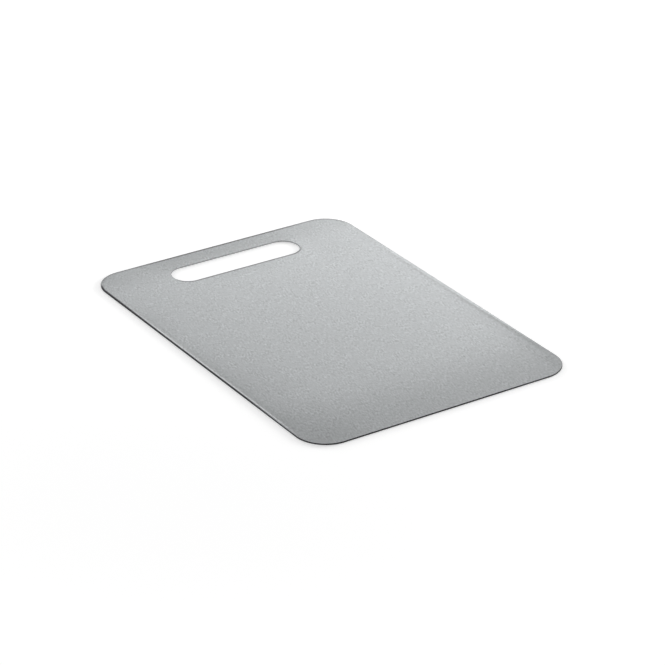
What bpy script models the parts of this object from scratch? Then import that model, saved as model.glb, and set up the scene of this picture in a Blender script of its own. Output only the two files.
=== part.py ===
"""A cutting board made from one thin metal sheet.

The sheet is flat, with four rounded corners and a finger slot beside one short side, and
every edge of it is slightly rounded.
Lengths are in metres, +Z is up, +X runs across the board and +Y towards the slot.
The origin is at the centre of the board, on the surface that it lies on.
"""

import math

import bmesh
import bpy
from mathutils import Vector

# Outline and sheet
BOARD_WIDTH = 0.250
BOARD_LENGTH = 0.350
CORNER_RADIUS = 0.027
SHEET_THICKNESS = 0.0012
EDGE_ROUND = 0.00022

# Finger slot: its two sizes, and the bar of metal left between it and the short side
SLOT_LENGTH = 0.125
SLOT_WIDTH = 0.029
HANDLE_BAR = 0.0205

# How finely the round forms are divided
CORNER_STEPS = 20
SLOT_END_STEPS = 32
EDGE_STEPS = 3

SHEET_COLOUR = (0.53, 0.55, 0.55, 1.0)
SHEET_ROUGHNESS = 0.42


def clear_scene():
    for item in list(bpy.data.objects):
        bpy.data.objects.remove(item, do_unlink=True)


def arc_stations(centre, radius, start_angle, sweep, steps):
    """Points on an arc, each with the unit direction away from the arc's centre."""
    stations = []
    for step in range(steps + 1):
        angle = start_angle + sweep * step / steps
        outward = Vector((math.cos(angle), math.sin(angle), 0.0))
        stations.append((centre + outward * radius, outward))
    return stations


def board_outline():
    """The board's outline, counterclockwise from the corner at +X and +Y."""
    reach_x = BOARD_WIDTH / 2 - CORNER_RADIUS
    reach_y = BOARD_LENGTH / 2 - CORNER_RADIUS
    quarter = math.pi / 2
    stations = []
    for index, (side_x, side_y) in enumerate(((+1, +1), (-1, +1), (-1, -1), (+1, -1))):
        centre = Vector((side_x * reach_x, side_y * reach_y, 0.0))
        stations += arc_stations(centre, CORNER_RADIUS, index * quarter, quarter, CORNER_STEPS)
    return stations


def slot_outline():
    """The slot's outline, a straight-sided slot with half-round ends."""
    end_radius = SLOT_WIDTH / 2
    reach = SLOT_LENGTH / 2 - end_radius
    middle_y = BOARD_LENGTH / 2 - HANDLE_BAR - end_radius
    half_turn = math.pi
    stations = []
    for side, start_angle in ((+1, -half_turn / 2), (-1, half_turn / 2)):
        centre = Vector((side * reach, middle_y, 0.0))
        stations += arc_stations(centre, end_radius, start_angle, half_turn, SLOT_END_STEPS)
    return stations


def rounded_edge():
    """The sheet's edge from its top face to its underside: distance in, and height."""
    section = []
    for step in range(EDGE_STEPS + 1):
        angle = math.pi / 2 * step / EDGE_STEPS
        inward = EDGE_ROUND * (1.0 - math.sin(angle))
        height = SHEET_THICKNESS - EDGE_ROUND * (1.0 - math.cos(angle))
        section.append((inward, height))
    underside = [(inward, SHEET_THICKNESS - height) for inward, height in section]
    return section + underside[::-1]


def sweep_edge(mesh, stations, metal_side):
    """Carry the rounded edge round an outline. Returns its rings, top one first.

    metal_side is -1 where the metal lies inside the outline and +1 where it lies outside.
    """
    rings = []
    for inward, height in rounded_edge():
        lift = Vector((0.0, 0.0, height))
        ring = []
        for point, outward in stations:
            ring.append(mesh.verts.new(point + outward * (metal_side * inward) + lift))
        rings.append(ring)
    return rings


def join_rings(mesh, rings):
    for upper, lower in zip(rings, rings[1:]):
        for index in range(len(upper)):
            after = (index + 1) % len(upper)
            mesh.faces.new((upper[index], lower[index], lower[after], upper[after]))


def ring_edges(mesh, ring):
    after = ring[1:] + ring[:1]
    return [mesh.edges.get(pair) for pair in zip(ring, after)]


def fill_face(mesh, outer_ring, slot_ring):
    """Close one flat face of the sheet, from the board's edge in to the slot."""
    edges = ring_edges(mesh, outer_ring) + ring_edges(mesh, slot_ring)
    bmesh.ops.triangle_fill(mesh, use_beauty=True, edges=edges)


def sheet_material():
    material = bpy.data.materials.new("textured_steel")
    material.use_nodes = True
    shader = material.node_tree.nodes["Principled BSDF"]
    shader.inputs["Base Color"].default_value = SHEET_COLOUR
    shader.inputs["Metallic"].default_value = 1.0
    shader.inputs["Roughness"].default_value = SHEET_ROUGHNESS
    material.diffuse_color = SHEET_COLOUR
    return material


def make_board_sheet():
    """The board itself: one closed solid with its rounded edges and its slot."""
    mesh = bmesh.new()
    outer_rings = sweep_edge(mesh, board_outline(), -1)
    slot_rings = sweep_edge(mesh, slot_outline(), +1)
    join_rings(mesh, outer_rings)
    join_rings(mesh, slot_rings)
    fill_face(mesh, outer_rings[0], slot_rings[0])
    fill_face(mesh, outer_rings[-1], slot_rings[-1])
    bmesh.ops.recalc_face_normals(mesh, faces=mesh.faces[:])

    data = bpy.data.meshes.new("board_sheet")
    mesh.to_mesh(data)
    mesh.free()
    data.shade_smooth()
    data.set_sharp_from_angle(angle=math.radians(30))
    data.materials.append(sheet_material())
    board = bpy.data.objects.new("board_sheet", data)
    bpy.context.scene.collection.objects.link(board)
    return board


clear_scene()
make_board_sheet()
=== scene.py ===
import math
from collections import namedtuple

import bpy
import numpy as np
from mathutils import Matrix, Vector, geometry, noise


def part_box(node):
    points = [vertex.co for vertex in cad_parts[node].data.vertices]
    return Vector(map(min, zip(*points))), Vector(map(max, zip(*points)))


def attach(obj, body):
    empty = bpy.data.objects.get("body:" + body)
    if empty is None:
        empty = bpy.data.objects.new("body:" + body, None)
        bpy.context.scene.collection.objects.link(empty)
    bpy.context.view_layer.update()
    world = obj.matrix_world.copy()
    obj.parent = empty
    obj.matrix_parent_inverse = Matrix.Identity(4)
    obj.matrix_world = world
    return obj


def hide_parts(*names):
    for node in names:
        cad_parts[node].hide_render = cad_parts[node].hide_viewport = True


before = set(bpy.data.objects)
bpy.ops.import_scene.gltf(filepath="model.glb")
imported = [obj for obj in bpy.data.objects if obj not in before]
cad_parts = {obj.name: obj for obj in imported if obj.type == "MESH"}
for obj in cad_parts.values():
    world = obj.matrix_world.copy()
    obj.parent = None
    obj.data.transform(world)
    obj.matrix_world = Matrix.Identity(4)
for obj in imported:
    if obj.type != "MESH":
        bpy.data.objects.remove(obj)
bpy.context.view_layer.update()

# The sheet, as the solid has it
LOW, HIGH = (Vector(corner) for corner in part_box("board_sheet"))
BOARD_WIDTH = HIGH.x - LOW.x
BOARD_LENGTH = HIGH.y - LOW.y
CORNER_RADIUS = 0.027
SHEET_THICKNESS = HIGH.z - LOW.z
EDGE_ROUND = 0.00022

# The finger slot, and the bar of metal left between it and the short side
SLOT_LENGTH = 0.125
SLOT_WIDTH = 0.029
SLOT_END_RADIUS = SLOT_WIDTH / 2
HANDLE_BAR = 0.0205
SLOT_MIDDLE_Y = BOARD_LENGTH / 2 - HANDLE_BAR - SLOT_END_RADIUS

# Pebbled relief: the width of its pebbles and of the slow waves under them, how far each stands
# up, and the noise value that is level with the sheet's face. It starts a little way in from
# a cut edge, and only a share of it is left on the smooth margin along each long side.
PEBBLE_WIDTH = 0.0023
PEBBLE_HEIGHT = 0.000048
WAVE_WIDTH = 0.0085
WAVE_HEIGHT = 0.000005
WAVE_SHIFT = Vector((17.0, 5.0, 3.0))
LEVEL_NOISE = 0.6
RELIEF_START = 0.0004
RELIEF_FADE = 0.0014
MARGIN_RELIEF = 0.25

# A soft step leads down from the margin along each long side to the pebbled field: its depth, and
# how far in it starts and ends. The field rises again towards the front and the handle edge, over
# these distances from them.
STEP_DEPTH = 0.00006
STEP_FROM = 0.0022
STEP_TO = 0.0062
STEP_FRONT_END = (0.003, 0.045)
STEP_HANDLE_END = (0.055, 0.120)

# Fine grain on the pebbles, drawn out along the sheet as it was rolled: grains in a metre
# across it, how much longer they are, how far they are turned from the length, and their height
GRAINS_PER_METRE = 735.0
GRAIN_STRETCH = 2.2
GRAIN_TURN = math.radians(-15)
GRAIN_HEIGHT = 0.00005

# The grain also makes the metal lighter and darker, by these shares from trough to peak, as painted shade
# in its hollows and painted highlight on its tops, weakly in some patches and strongly in others, and the
# noise values of the weak and the strong ones
WEAK_GRAIN_SHADING = 0.1435
STRONG_GRAIN_SHADING = 0.7175
PATCHES_PER_METRE = 110.0
PATCH_SPAN = (0.30, 0.70)

# The metal: two greys that mix in soft clouds, their roughness, and the near-black painted shade of a cut
# edge
CLOUDS_PER_METRE = 22.0
DARKER_GREY = (0.504, 0.521, 0.527, 1.0)
LIGHTER_GREY = (0.534, 0.550, 0.559, 1.0)
ROUGHNESS_SPAN = (0.38, 0.46)
EDGE_SHADE_COLOUR = (0.022, 0.022, 0.024, 1.0)

# Painted shade where the light falls off: the share of the metal's brightness that is lost, and the spans
# of x, of y or of the distance from the long middle line over which each darkening grows from nothing to
# full
PAINTED_SHADES = (
    ("front", 0.18, ("y", -0.085, -0.165)),
    ("handle edge", 0.125, ("y", 0.130, 0.170)),
    ("left side", 0.06, ("x", -0.102, -0.118), ("y", 0.130, 0.060), ("y", -0.155, -0.120)),
    ("right side", 0.065, ("x", 0.104, 0.118), ("y", -0.030, -0.120)),
    ("front left corner", 0.08, ("x", -0.060, -0.112), ("y", 0.040, -0.085)),
    ("back right corner", 0.05, ("x", 0.060, 0.085), ("y", 0.085, 0.120)),
    ("bar behind the slot", 0.13, ("off_middle", 0.080, 0.045), ("y", 0.140, 0.164)),
    ("round the slot", 0.045, ("off_middle", 0.050, 0.015), ("y", 0.106, 0.119), ("y", 0.150, 0.130)),
)

# Marks along the long sides grow from the handle end towards the front over two stretches of y,
# by a share over the first and by the rest over the second, and fade at the front corner. They
# are only where the x of the outline's outward direction is larger than this.
FIRST_RISE = (0.135, 0.060)
SECOND_RISE = (0.010, -0.070)
LEFT_FIRST_SHARE = 0.80
RIGHT_FIRST_SHARE = 0.45
FRONT_CORNER_FADE = (-0.157, -0.115)
LONG_SIDE_DIRECTION = 0.999

# On the right side the marks change towards the front over the first of these stretches of y,
# and the margin fades out over the second
RIGHT_CHANGE = (0.020, -0.100)
RIGHT_MARGIN_FADE = (-0.092, -0.130)

# A smoother margin on each long side, brighter by a painted highlight
LEFT_MARGIN_HIGHLIGHT = 0.48
RIGHT_MARGIN_HIGHLIGHT = 0.27
LEFT_MARGIN_WIDTH = 0.0026
RIGHT_MARGIN_WIDTH = 0.0029
RIGHT_MARGIN_FRONT_WIDTH = 0.0013
MARGIN_BLUR = 0.0009

# A line of painted shade inside the margin. On the right it lies nearer the edge in front, and is darker.
SHADE_LINE_INSET = 0.0046
SHADE_LINE_FRONT_INSET = 0.0032
SHADE_LINE_HALF_WIDTH = 0.0034
SHADE_LINE_DARKENING = -0.14
SHADE_LINE_FRONT_DARKENING = -0.19

# A line of painted shade over the rounding of the left edge. It widens towards the slot end and fades
# towards the front, over these stretches of y, and turns with the outline only a little way
# into the corners.
LEFT_EDGE_WIDTH = 0.0012
LEFT_EDGE_BLUR = 0.0006
LEFT_EDGE_WIDENING = 0.30
LEFT_EDGE_WIDENS = (0.040, 0.110)
LEFT_EDGE_FADING = 0.8
LEFT_EDGE_FADES = (-0.070, -0.150)
LEFT_EDGE_FACING = (0.85, 0.98)

# The cut edge's painted shade is lighter at its foot, by a painted reflection of the floor, and along the
# front, most of all at the right corner, by painted light
FOOT_HEIGHT = 0.0006
LEFT_FOOT_LIGHTENING = 0.88
FRONT_FOOT_LIGHTENING = 0.35
FRONT_EDGE_LIGHTENING = 0.01
RIGHT_CORNER_LIGHTENING = 0.09
RIGHT_CORNER_SPAN = (0.050, 0.100)

# Painted dark reflections of the rounding beside the handle edge, weaker towards its corners, and in front
# of the slot, and the share of the cut edge's painted shade on the wall of the slot
HANDLE_LINE_WIDTH = 0.0021
HANDLE_REFLECTION_DARKENING = -0.64
HANDLE_LINE_CORNER_SHARE = 0.5
HANDLE_LINE_GROWS = (0.092, 0.062)
SLOT_LINE_WIDTH = 0.0018
SLOT_REFLECTION_DARKENING = -0.60
SLOT_WALL_DARKNESS = 0.26

# Fineness of the mesh, the gap between its strips of quads and the points inside them, and how
# far in from each edge the strips lie
POINT_SPACING = 0.00117
TOP_GAP = 0.6 * POINT_SPACING
UNDERSIDE_SPACING = 0.0040
UNDERSIDE_GAP = 0.45 * UNDERSIDE_SPACING
EDGE_STEPS = 3
TOP_INSETS = (0.0092, 0.0080, 0.0068, 0.0056, 0.0045, 0.0036, 0.0028, 0.0021, 0.0015, 0.0010, 0.0005)
UNDER_INSETS = (0.0010, 0.0028, 0.0046, 0.0064, 0.0092)
SLOT_TOP_INSETS = (0.0030, 0.0022, 0.0015, 0.0009, 0.0004)
SLOT_UNDER_INSETS = (0.0008,)

# The two flat faces. Each inset is the width of the strips, along the outline and round the slot.
Face = namedtuple("Face", "height spacing gap inset slot_inset pebbled")
TOP_FACE = Face(height=SHEET_THICKNESS, spacing=POINT_SPACING, gap=TOP_GAP,
                inset=TOP_INSETS[0], slot_inset=SLOT_TOP_INSETS[0], pebbled=True)
UNDERSIDE = Face(height=0.0, spacing=UNDERSIDE_SPACING, gap=UNDERSIDE_GAP,
                 inset=UNDER_INSETS[-1], slot_inset=SLOT_UNDER_INSETS[-1], pebbled=False)

# For filling a face: keep the triangles inside its outline, and merge points closer than this
INSIDE_OUTLINE = 1
MERGE_DISTANCE = 1e-9

# The floor: half its side, how far it lies under the board, its matt colour, and how much lighter
# than it is lit the camera and the metal see it, at the near and the far of two distances
FLOOR_HALF_SIDE = 12.0
FLOOR_DROP = 0.00010
FLOOR_COLOUR = (0.95, 0.95, 0.95, 1.0)
FLOOR_DISTANCES = (0.2, 1.6)
FLOOR_FILLS = (0.217, 0.600)

# Soft light from all round, and the watts of a lamp of level 1 that stands a metre away
WORLD_COLOUR = (1.0, 1.0, 1.0, 1.0)
WORLD_STRENGTH = 0.462
WATTS_AT_ONE_METRE = 4.0

# Soft boxes round the board: where each stands, in degrees from the slot side towards +X and
# degrees up, its distance and size in metres, and its level
SOFT_BOXES = (
    ("left_low", -60, 8, 1.6, (0.9, 0.25), 0.20),
    ("back_left", -45, 16, 1.3, (0.7, 0.3), 0.26),
    ("back_right", 34, 16, 1.3, (0.7, 0.3), 0.216),
    ("right", 55, 16, 1.3, (0.7, 0.3), 0.093),
    ("far_right", 90, 16, 1.3, (0.7, 0.3), 0.33),
    ("right_low", 120, 8, 1.6, (0.9, 0.25), 0.35),
    ("front_left", -146, 40, 1.4, (0.9, 0.7), 0.30),
)

# Two low soft boxes that the metal doesn't mirror. They deepen the board's soft shadow.
SHADOW_BOXES = (
    ("shadow_right", 90, 9, 1.6, (0.9, 0.25), 2.1),
    ("shadow_back", 0, 9, 1.6, (0.9, 0.25), 1.55),
)

# Camera, worked out from the outline of the board in the picture
PICTURE_SIDE = 665
FOCAL_PIXELS = 2828.8
SENSOR_WIDTH = 36.0
CAMERA_AZIMUTH = math.radians(-33.80)
CAMERA_ELEVATION = math.radians(27.08)
CAMERA_ROLL = math.radians(0.60)
CAMERA_DISTANCE = 2.321
CAMERA_AIM = Vector((-0.0040, -0.0164, 0.0))


def smooth_step(share):
    share = np.clip(share, 0.0, 1.0)
    return share * share * (3.0 - 2.0 * share)


def between(values, start, end):
    """Rise from 0 at start to 1 at end, with level ends."""
    return smooth_step((values - start) / (end - start))


def in_band(inset, width, blur):
    """1 in a band along an edge and 0 farther in, with a soft limit at the band's width."""
    return smooth_step((width - inset) / blur + 0.5)


def blend(start, end, share):
    return start + (end - start) * share


def arc_stations(centre, radius, start_angle, sweep):
    """Points on an arc and the directions away from its centre, about one spacing apart."""
    steps = round(radius * sweep / POINT_SPACING)
    angles = start_angle + sweep * np.arange(steps + 1) / steps
    outward = np.stack([np.cos(angles), np.sin(angles)], axis=1)
    return np.asarray(centre) + outward * radius, outward


def line_stations(start, end, outward):
    """Points strictly between two ends of a straight side, with its outward direction."""
    steps = round(np.linalg.norm(end - start) / POINT_SPACING)
    shares = np.arange(1, steps)[:, None] / steps
    points = start + (end - start) * shares
    return points, np.tile(outward, (len(points), 1))


def closed_stations(corner_centres, radius, start_angles, sweep):
    """Arcs joined by straight sides into one closed outline."""
    arcs = [arc_stations(centre, radius, angle, sweep)
            for centre, angle in zip(corner_centres, start_angles)]
    points, outwards = [], []
    for index, (arc_points, arc_outwards) in enumerate(arcs):
        next_start = arcs[(index + 1) % len(arcs)][0][0]
        side_points, side_outwards = line_stations(arc_points[-1], next_start, arc_outwards[-1])
        points += [arc_points, side_points]
        outwards += [arc_outwards, side_outwards]
    return np.concatenate(points), np.concatenate(outwards)


def board_stations():
    x = BOARD_WIDTH / 2 - CORNER_RADIUS
    y = BOARD_LENGTH / 2 - CORNER_RADIUS
    centres = [(x, y), (-x, y), (-x, -y), (x, -y)]
    quarter = math.pi / 2
    return closed_stations(centres, CORNER_RADIUS, [0.0, quarter, 2 * quarter, 3 * quarter], quarter)


def slot_stations():
    reach = SLOT_LENGTH / 2 - SLOT_END_RADIUS
    centres = [(reach, SLOT_MIDDLE_Y), (-reach, SLOT_MIDDLE_Y)]
    quarter = math.pi / 2
    return closed_stations(centres, SLOT_END_RADIUS, [-quarter, quarter], math.pi)


def sheet_painted_shade(places):
    """Painted shade over the sheet: 1, less the painted darkening towards the edges and the slot."""
    reach = {"x": places[:, 0], "y": places[:, 1], "off_middle": np.abs(places[:, 0])}
    tone = np.ones(len(places))
    for _, amount, *spans in PAINTED_SHADES:
        for axis, start, end in spans:
            amount = amount * between(reach[axis], start, end)
        tone -= amount
    return tone


def on_right(outwards):
    return outwards[:, 0] > 0.0


def long_side_share(points, outwards):
    """How strong a long side's marks are: 1 in front of the middle, 0 round the corners."""
    y = points[:, 1]
    first_share = np.where(on_right(outwards), RIGHT_FIRST_SHARE, LEFT_FIRST_SHARE)
    from_handle = blend(between(y, *SECOND_RISE), between(y, *FIRST_RISE), first_share)
    on_long_side = np.abs(outwards[:, 0]) > LONG_SIDE_DIRECTION
    return from_handle * between(y, *FRONT_CORNER_FADE) * on_long_side


def front_right_share(points, outwards):
    """0 along the left side, and on the right side rising from the middle to the front."""
    return between(points[:, 1], *RIGHT_CHANGE) * on_right(outwards)


def margin_share(points, outwards):
    """How strong the smooth margin is. On the right side it ends before the corner."""
    ending = 1.0 - between(points[:, 1], *RIGHT_MARGIN_FADE) * on_right(outwards)
    return long_side_share(points, outwards) * ending


def margin_painted_highlight(inset, points, outwards):
    """How much the painted highlight lightens the margin along a long side. On the right it narrows in
    front.
    """
    to_front = front_right_share(points, outwards)
    right_width = blend(RIGHT_MARGIN_WIDTH, RIGHT_MARGIN_FRONT_WIDTH, to_front)
    width = np.where(on_right(outwards), right_width, LEFT_MARGIN_WIDTH)
    lightening = np.where(on_right(outwards), RIGHT_MARGIN_HIGHLIGHT, LEFT_MARGIN_HIGHLIGHT)
    return lightening * margin_share(points, outwards) * in_band(inset, width, MARGIN_BLUR)


def painted_shade_line(inset, points, outwards):
    """How much the painted shade darkens the line inside the margin."""
    to_front = front_right_share(points, outwards)
    line_inset = blend(SHADE_LINE_INSET, SHADE_LINE_FRONT_INSET, to_front)
    off_line = np.abs(inset - line_inset) / SHADE_LINE_HALF_WIDTH
    painted_darkening = blend(SHADE_LINE_DARKENING, SHADE_LINE_FRONT_DARKENING, to_front)
    return painted_darkening * long_side_share(points, outwards) * smooth_step(1.0 - off_line)


def handle_painted_reflection(inset, points, outwards):
    """How much the painted dark reflection darkens the line beside the handle edge."""
    off_corner = between(np.abs(points[:, 0]), *HANDLE_LINE_GROWS)
    facing_handle = smooth_step(outwards[:, 1]) * blend(HANDLE_LINE_CORNER_SHARE, 1.0, off_corner)
    return HANDLE_REFLECTION_DARKENING * facing_handle * in_band(inset, HANDLE_LINE_WIDTH, HANDLE_LINE_WIDTH)


def outer_painted_light(inset, points, outwards):
    """The painted highlight, shade and dark reflection of a ring round the outline, as a factor on the
    sheet's painted shade.
    """
    marks = margin_painted_highlight, painted_shade_line, handle_painted_reflection
    return 1.0 + sum(mark(inset, points, outwards) for mark in marks)


def slot_painted_reflection(inset, outwards):
    """The colour of a ring round the slot, with a painted dark reflection in front of it."""
    facing_front = smooth_step(-outwards[:, 1])
    return 1.0 + SLOT_REFLECTION_DARKENING * facing_front * in_band(inset, SLOT_LINE_WIDTH, SLOT_LINE_WIDTH)


def left_edge_painted_shade(inset, points, outwards):
    """How much of the top face over the left side's rounding carries painted shade as dark as the cut
    edge's.
    """
    y = points[:, 1]
    facing_left = between(-outwards[:, 0], *LEFT_EDGE_FACING)
    fading = 1.0 - LEFT_EDGE_FADING * between(y, *LEFT_EDGE_FADES)
    width = LEFT_EDGE_WIDTH * (1.0 + LEFT_EDGE_WIDENING * between(y, *LEFT_EDGE_WIDENS))
    return facing_left * fading * in_band(inset, width, LEFT_EDGE_BLUR)


def wall_painted_shade(height, points, outwards):
    """How much painted shade the cut edge has at a height above the underside; painted light lifts its foot
    and its front.
    """
    facing_left = smooth_step(-outwards[:, 0])
    facing_front = smooth_step(-outwards[:, 1])
    foot = max(0.0, 1.0 - height / FOOT_HEIGHT)
    lighter_foot = (LEFT_FOOT_LIGHTENING * facing_left + FRONT_FOOT_LIGHTENING * facing_front) * foot
    at_right_corner = RIGHT_CORNER_LIGHTENING * between(points[:, 0], *RIGHT_CORNER_SPAN)
    along_front = (FRONT_EDGE_LIGHTENING + at_right_corner) * facing_front
    return np.maximum(0.0, 1.0 - lighter_foot - along_front)


def field_drop(places):
    """How far the pebbled field lies below the margins. It rises again towards both ends."""
    from_side = BOARD_WIDTH / 2 - np.abs(places[:, 0])
    from_front = BOARD_LENGTH / 2 + places[:, 1]
    from_handle = BOARD_LENGTH / 2 - places[:, 1]
    ends = between(from_front, *STEP_FRONT_END) * between(from_handle, *STEP_HANDLE_END)
    return STEP_DEPTH * between(from_side, STEP_FROM, STEP_TO) * ends


def pebble_relief(x, y):
    """Height of the pebbled relief at one point of the sheet, never above its face."""
    place = Vector((x, y, 0.0))
    pebble = noise.noise(place / PEBBLE_WIDTH) - LEVEL_NOISE
    wave = noise.noise(place / WAVE_WIDTH + WAVE_SHIFT) - LEVEL_NOISE
    return min(0.0, PEBBLE_HEIGHT * pebble + WAVE_HEIGHT * wave)


def relief_at(places):
    return np.array([pebble_relief(x, y) for x, y in places])


def relief_by_edge(inset):
    """How strong the relief is at a distance from a cut edge, where it is worn smooth."""
    return smooth_step((inset - RELIEF_START) / RELIEF_FADE)


def relief_by_outline(inset, points, outwards):
    """How strong the relief is on a ring round the outline, where a margin may smooth it."""
    smoothing = margin_share(points, outwards) * (1.0 - MARGIN_RELIEF)
    return relief_by_edge(inset) * (1.0 - smoothing * between(inset, STEP_TO, STEP_FROM))


def edge_section():
    """The rounded edge from the top face to the underside: inset and height.

    A row of points across the straight wall marks off its foot, which a painted floor reflection makes
    lighter.
    """
    section = []
    for step in range(EDGE_STEPS + 1):
        angle = math.pi / 2 * step / EDGE_STEPS
        inset = EDGE_ROUND * (1.0 - math.sin(angle))
        height = SHEET_THICKNESS - EDGE_ROUND * (1.0 - math.cos(angle))
        section.append((inset, height))
    underside = [(inset, SHEET_THICKNESS - height) for inset, height in section]
    return section + [(0.0, FOOT_HEIGHT)] + underside[::-1]


def section_rows(top_insets, under_insets):
    """The section from the top face round the edge to the underside: inset, height, part."""
    rows = [(inset, SHEET_THICKNESS, "top") for inset in top_insets]
    rows += [(inset, height, "edge") for inset, height in edge_section()]
    rows += [(inset, 0.0, "under") for inset in under_insets]
    return rows


class SheetMesh:
    """Collects the points and faces of the sheet, with each point's painted light and shade: a tone for the
    metal and a share of the cut edge's painted shade.
    """

    def __init__(self):
        self.points = []
        self.faces = []
        self.tone = []
        self.cut = []

    def add_points(self, places, heights, tone=1.0, cut=0.0):
        """Add points, and return their indexes."""
        first = len(self.points)
        count = len(places)
        self.points += [(float(x), float(y), float(z)) for (x, y), z in zip(places, heights)]
        self.tone += np.broadcast_to(tone, count).tolist()
        self.cut += np.broadcast_to(cut, count).tolist()
        return list(range(first, first + count))

    def join_rings(self, rings):
        for upper, lower in zip(rings, rings[1:]):
            for index in range(len(upper)):
                after = (index + 1) % len(upper)
                self.faces.append((upper[index], lower[index], lower[after], upper[after]))


def add_outer_rings(sheet):
    """The outer edge, and the strips of both faces next to it. Returns the innermost rings."""
    points, outwards = board_stations()
    rings = []
    for inset, height, part in section_rows(TOP_INSETS, UNDER_INSETS):
        places = points - outwards * inset
        heights = np.full(len(places), height)
        tone = 1.0
        cut = 0.0
        if part == "top":
            relief = relief_by_outline(inset, points, outwards) * relief_at(places)
            heights = heights - field_drop(places) + relief
            cut = left_edge_painted_shade(inset, points, outwards)
        elif part == "edge":
            cut = wall_painted_shade(height, points, outwards)
        if part != "under":
            tone = sheet_painted_shade(places) * outer_painted_light(inset, points, outwards)
        rings.append(sheet.add_points(places, heights, tone, cut))
    sheet.join_rings(rings)
    return rings[0], rings[-1]


def add_slot_rings(sheet):
    """The slot's edge, and the strips of both faces round it. Returns the outermost rings."""
    points, outwards = slot_stations()
    rings = []
    for inset, height, part in section_rows(SLOT_TOP_INSETS, SLOT_UNDER_INSETS):
        places = points + outwards * inset
        heights = np.full(len(places), height)
        tone = 1.0
        cut = 0.0
        if part == "top":
            heights = heights + relief_by_edge(inset) * relief_at(places)
            tone = sheet_painted_shade(places) * slot_painted_reflection(inset, outwards)
        elif part == "edge":
            cut = SLOT_WALL_DARKNESS
        rings.append(sheet.add_points(places, heights, tone, cut))
    # The metal lies outside this outline, so its rings are joined the other way round
    sheet.join_rings(rings[::-1])
    return rings[0], rings[-1]


def inside_rounded_box(places, half_x, half_y, radius, middle_y=0.0):
    """Distance inside a rounded rectangle's outline, negative outside it."""
    dx = np.abs(places[:, 0]) - (half_x - radius)
    dy = np.abs(places[:, 1] - middle_y) - (half_y - radius)
    outside = np.hypot(np.maximum(dx, 0.0), np.maximum(dy, 0.0))
    return radius - outside - np.minimum(np.maximum(dx, dy), 0.0)


def inside_board(places):
    return inside_rounded_box(places, BOARD_WIDTH / 2, BOARD_LENGTH / 2, CORNER_RADIUS)


def inside_slot(places):
    return inside_rounded_box(places, SLOT_LENGTH / 2, SLOT_WIDTH / 2, SLOT_END_RADIUS, SLOT_MIDDLE_Y)


def field_points(face):
    """A hexagonal grid over one flat face, clear of the strips along its edges."""
    row_step = face.spacing * math.sqrt(3) / 2
    rows = np.arange(-BOARD_LENGTH / 2, BOARD_LENGTH / 2, row_step)
    columns = np.arange(-BOARD_WIDTH / 2, BOARD_WIDTH / 2, face.spacing)
    grid = [(x + (index % 2) * face.spacing / 2, y) for index, y in enumerate(rows) for x in columns]
    grid = np.array(grid)
    off_edge = inside_board(grid) > face.inset + face.gap
    off_slot = inside_slot(grid) < -face.slot_inset - face.gap
    return grid[off_edge & off_slot]


def add_field_points(sheet, face):
    places = field_points(face)
    heights = np.full(len(places), face.height)
    if not face.pebbled:
        return sheet.add_points(places, heights)
    return sheet.add_points(places, heights + relief_at(places) - field_drop(places), sheet_painted_shade(places))


def loop_edges(first, count):
    """The edges round a closed ring of points, as pairs of indexes."""
    return [(first + index, first + (index + 1) % count) for index in range(count)]


def fill_face(sheet, face, outer_ring, slot_ring):
    """Triangles over one flat face, between its outer strip and the strip round the slot.

    Those of the underside are turned over, so that they face down.
    """
    order = outer_ring + slot_ring + add_field_points(sheet, face)
    flat = [Vector(sheet.points[index][:2]) for index in order]
    borders = loop_edges(0, len(outer_ring)) + loop_edges(len(outer_ring), len(slot_ring))
    found = geometry.delaunay_2d_cdt(flat, borders, [], INSIDE_OUTLINE, MERGE_DISTANCE)
    places, _, triangles, origins = found[:4]
    centres = np.array([np.mean([places[i] for i in triangle], axis=0) for triangle in triangles])
    in_hole = inside_slot(centres) > -face.slot_inset / 2
    for triangle, hidden in zip(triangles, in_hole):
        if hidden:
            continue
        corners = tuple(order[origins[i][0]] for i in triangle)
        sheet.faces.append(corners if face.pebbled else corners[::-1])


def link_new_object(name, data):
    item = bpy.data.objects.new(name, data)
    bpy.context.scene.collection.objects.link(item)
    return item


def make_sheet():
    sheet = SheetMesh()
    outer_top, outer_under = add_outer_rings(sheet)
    slot_top, slot_under = add_slot_rings(sheet)
    fill_face(sheet, TOP_FACE, outer_top, slot_top)
    fill_face(sheet, UNDERSIDE, outer_under, slot_under)
    mesh = bpy.data.meshes.new("sheet")
    mesh.from_pydata(sheet.points, [], sheet.faces)
    mesh.validate()
    # Per-point painted light and shade: a tone for the metal, and a share of the cut edge's near-black
    # painted shade
    for name, values in (("tone", sheet.tone), ("cut", sheet.cut)):
        layer = mesh.attributes.new(name, "FLOAT", "POINT")
        layer.data.foreach_set("value", values)
    mesh.shade_smooth()
    mesh.materials.append(sheet_material())
    return link_new_object("sheet", mesh)


def new_material(name):
    """A material without nodes, and its node tree."""
    material = bpy.data.materials.new(name)
    material.use_nodes = True
    material.node_tree.nodes.clear()
    return material, material.node_tree


def add_node(tree, kind, inputs, **properties):
    """Add a node. Each of its inputs is given as a value or as the socket that feeds it."""
    node = tree.nodes.new(kind)
    for name, value in properties.items():
        setattr(node, name, value)
    for key, value in inputs.items():
        if isinstance(value, bpy.types.NodeSocket):
            tree.links.new(value, node.inputs[key])
        else:
            node.inputs[key].default_value = value
    return node


def math_node(tree, operation, *values):
    return add_node(tree, "ShaderNodeMath", dict(enumerate(values)), operation=operation).outputs[0]


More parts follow.
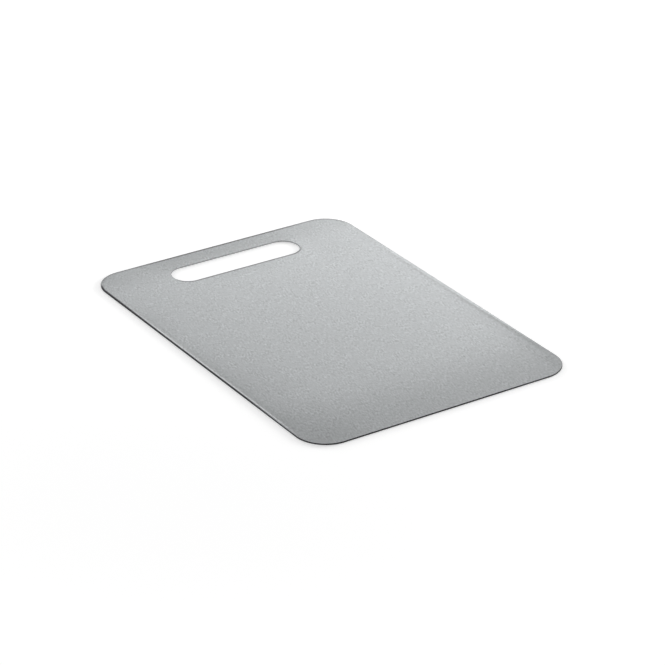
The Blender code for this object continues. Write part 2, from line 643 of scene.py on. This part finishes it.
def map_range(tree, value, source, target, **properties):
    """Carry a value over from the source span to the target span."""
    inputs = {"Value": value}
    inputs.update(zip(("From Min", "From Max", "To Min", "To Max"), source + target))
    return add_node(tree, "ShaderNodeMapRange", inputs, **properties).outputs["Result"]


def mix_colours(tree, share, first, second, blend_type="MIX"):
    inputs = {"Factor": share, "A": first, "B": second}
    mix = add_node(tree, "ShaderNodeMix", inputs, data_type="RGBA", blend_type=blend_type)
    return mix.outputs["Result"]


def noise_at(tree, place, **settings):
    return add_node(tree, "ShaderNodeTexNoise", {"Vector": place, **settings}).outputs["Fac"]


def attribute(tree, name):
    return add_node(tree, "ShaderNodeAttribute", {}, attribute_name=name).outputs["Fac"]


def grain_noise(tree, place):
    """Noise from 0 to 1, drawn out along the sheet."""
    turned = {"Vector": place, "Rotation": (0.0, 0.0, GRAIN_TURN), "Scale": (1.0, GRAIN_STRETCH, 1.0)}
    rolled = add_node(tree, "ShaderNodeMapping", turned, vector_type="TEXTURE")
    return noise_at(tree, rolled.outputs["Vector"], Scale=GRAINS_PER_METRE, Detail=0.0)


def grain_shading(tree, place, grain):
    """The painted shade and highlight of the grain: 1 halfway up each grain, darker below and lighter above.
    """
    patch = noise_at(tree, place, Scale=PATCHES_PER_METRE, Detail=1.0)
    strength = map_range(tree, patch, PATCH_SPAN, (WEAK_GRAIN_SHADING, STRONG_GRAIN_SHADING))
    centred = math_node(tree, "SUBTRACT", grain, 0.5)
    return math_node(tree, "MULTIPLY_ADD", centred, strength, 1.0)


def sheet_material():
    """Satin grey metal with fine grain, its colour carrying each point's painted light and shade, and the
    near-black painted shade over the cut edges.
    """
    material, tree = new_material("textured_steel")
    place = add_node(tree, "ShaderNodeTexCoord", {}).outputs["Object"]
    grain = grain_noise(tree, place)
    cloud = noise_at(tree, place, Scale=CLOUDS_PER_METRE, Detail=3.0, Roughness=0.6)

    colour = mix_colours(tree, cloud, DARKER_GREY, LIGHTER_GREY)
    for tone in (attribute(tree, "tone"), grain_shading(tree, place, grain)):
        colour = mix_colours(tree, 1.0, colour, tone, "MULTIPLY")
    colour = mix_colours(tree, attribute(tree, "cut"), colour, EDGE_SHADE_COLOUR)
    roughness = map_range(tree, cloud, (0.0, 1.0), ROUGHNESS_SPAN)
    bump = add_node(tree, "ShaderNodeBump", {"Strength": 1.0, "Distance": GRAIN_HEIGHT, "Height": grain})

    looks = {"Metallic": 1.0, "Base Color": colour, "Roughness": roughness, "Normal": bump.outputs["Normal"]}
    shader = add_node(tree, "ShaderNodeBsdfPrincipled", looks)
    add_node(tree, "ShaderNodeOutputMaterial", {"Surface": shader.outputs["BSDF"]})
    return material


def floor_material():
    """A pale matt floor that the camera and the metal see a little lighter than it is lit."""
    material, tree = new_material("floor")
    path = add_node(tree, "ShaderNodeLightPath", {})
    seen = path.outputs["Is Camera Ray"]
    for ray in ("Is Glossy Ray", "Is Transmission Ray"):
        seen = math_node(tree, "MAXIMUM", seen, path.outputs[ray])

    place = add_node(tree, "ShaderNodeTexCoord", {}).outputs["Object"]
    distance = add_node(tree, "ShaderNodeVectorMath", {0: place}, operation="LENGTH").outputs["Value"]
    fill = map_range(tree, distance, FLOOR_DISTANCES, FLOOR_FILLS, interpolation_type="SMOOTHSTEP")
    glow = add_node(tree, "ShaderNodeEmission", {"Strength": math_node(tree, "MULTIPLY", seen, fill)})
    matt = add_node(tree, "ShaderNodeBsdfDiffuse", {"Color": FLOOR_COLOUR})
    both = add_node(tree, "ShaderNodeAddShader", {0: matt.outputs[0], 1: glow.outputs[0]})
    add_node(tree, "ShaderNodeOutputMaterial", {"Surface": both.outputs[0]})
    return material


def make_floor():
    half = FLOOR_HALF_SIDE
    corners = [(x, y, -FLOOR_DROP) for x, y in ((-half, -half), (half, -half), (half, half), (-half, half))]
    mesh = bpy.data.meshes.new("floor")
    mesh.from_pydata(corners, [], [(0, 1, 2, 3)])
    mesh.materials.append(floor_material())
    return link_new_object("floor", mesh)


def make_world():
    world = bpy.data.worlds.new("studio")
    world.use_nodes = True
    background = world.node_tree.nodes["Background"]
    background.inputs["Color"].default_value = WORLD_COLOUR
    background.inputs["Strength"].default_value = WORLD_STRENGTH
    bpy.context.scene.world = world


def soft_box(name, azimuth, elevation, distance, size, level):
    """A rectangular lamp aimed at the middle of the board."""
    around = math.radians(azimuth)
    upward = math.radians(elevation)
    reach = math.cos(upward)
    direction = Vector((math.sin(around) * reach, math.cos(around) * reach, math.sin(upward)))
    lamp = bpy.data.lights.new(name, "AREA")
    lamp.shape = "RECTANGLE"
    lamp.size, lamp.size_y = size
    lamp.energy = level * WATTS_AT_ONE_METRE * distance ** 2
    item = link_new_object(name, lamp)
    item.location = direction * distance
    item.rotation_euler = (-direction).to_track_quat("-Z", "Y").to_euler()
    item.visible_camera = False
    return item


def make_lights():
    for box in SOFT_BOXES:
        soft_box(*box)
    for box in SHADOW_BOXES:
        soft_box(*box).visible_glossy = False


def make_camera():
    """The camera of the photograph. The aim is the ground point at the picture's middle."""
    sin_az, cos_az = math.sin(CAMERA_AZIMUTH), math.cos(CAMERA_AZIMUTH)
    sin_el, cos_el = math.sin(CAMERA_ELEVATION), math.cos(CAMERA_ELEVATION)
    back = Vector((sin_az * cos_el, -cos_az * cos_el, sin_el))
    right = (-back).cross(Vector((0.0, 0.0, 1.0))).normalized()
    up = back.cross(right)
    turned_right = right * math.cos(CAMERA_ROLL) + up * math.sin(CAMERA_ROLL)
    turned_up = up * math.cos(CAMERA_ROLL) - right * math.sin(CAMERA_ROLL)
    camera = bpy.data.cameras.new("camera")
    camera.sensor_width = SENSOR_WIDTH
    camera.lens = FOCAL_PIXELS / PICTURE_SIDE * SENSOR_WIDTH
    item = link_new_object("camera", camera)
    turn = Matrix((turned_right, turned_up, back)).transposed().to_4x4()
    item.matrix_world = Matrix.Translation(CAMERA_AIM + back * CAMERA_DISTANCE) @ turn
    bpy.context.scene.camera = item


board = make_sheet()
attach(board, "root")
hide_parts("board_sheet")
floor = make_floor()
make_world()
make_lights()
make_camera()

bpy.context.scene.view_settings.view_transform = "Standard"
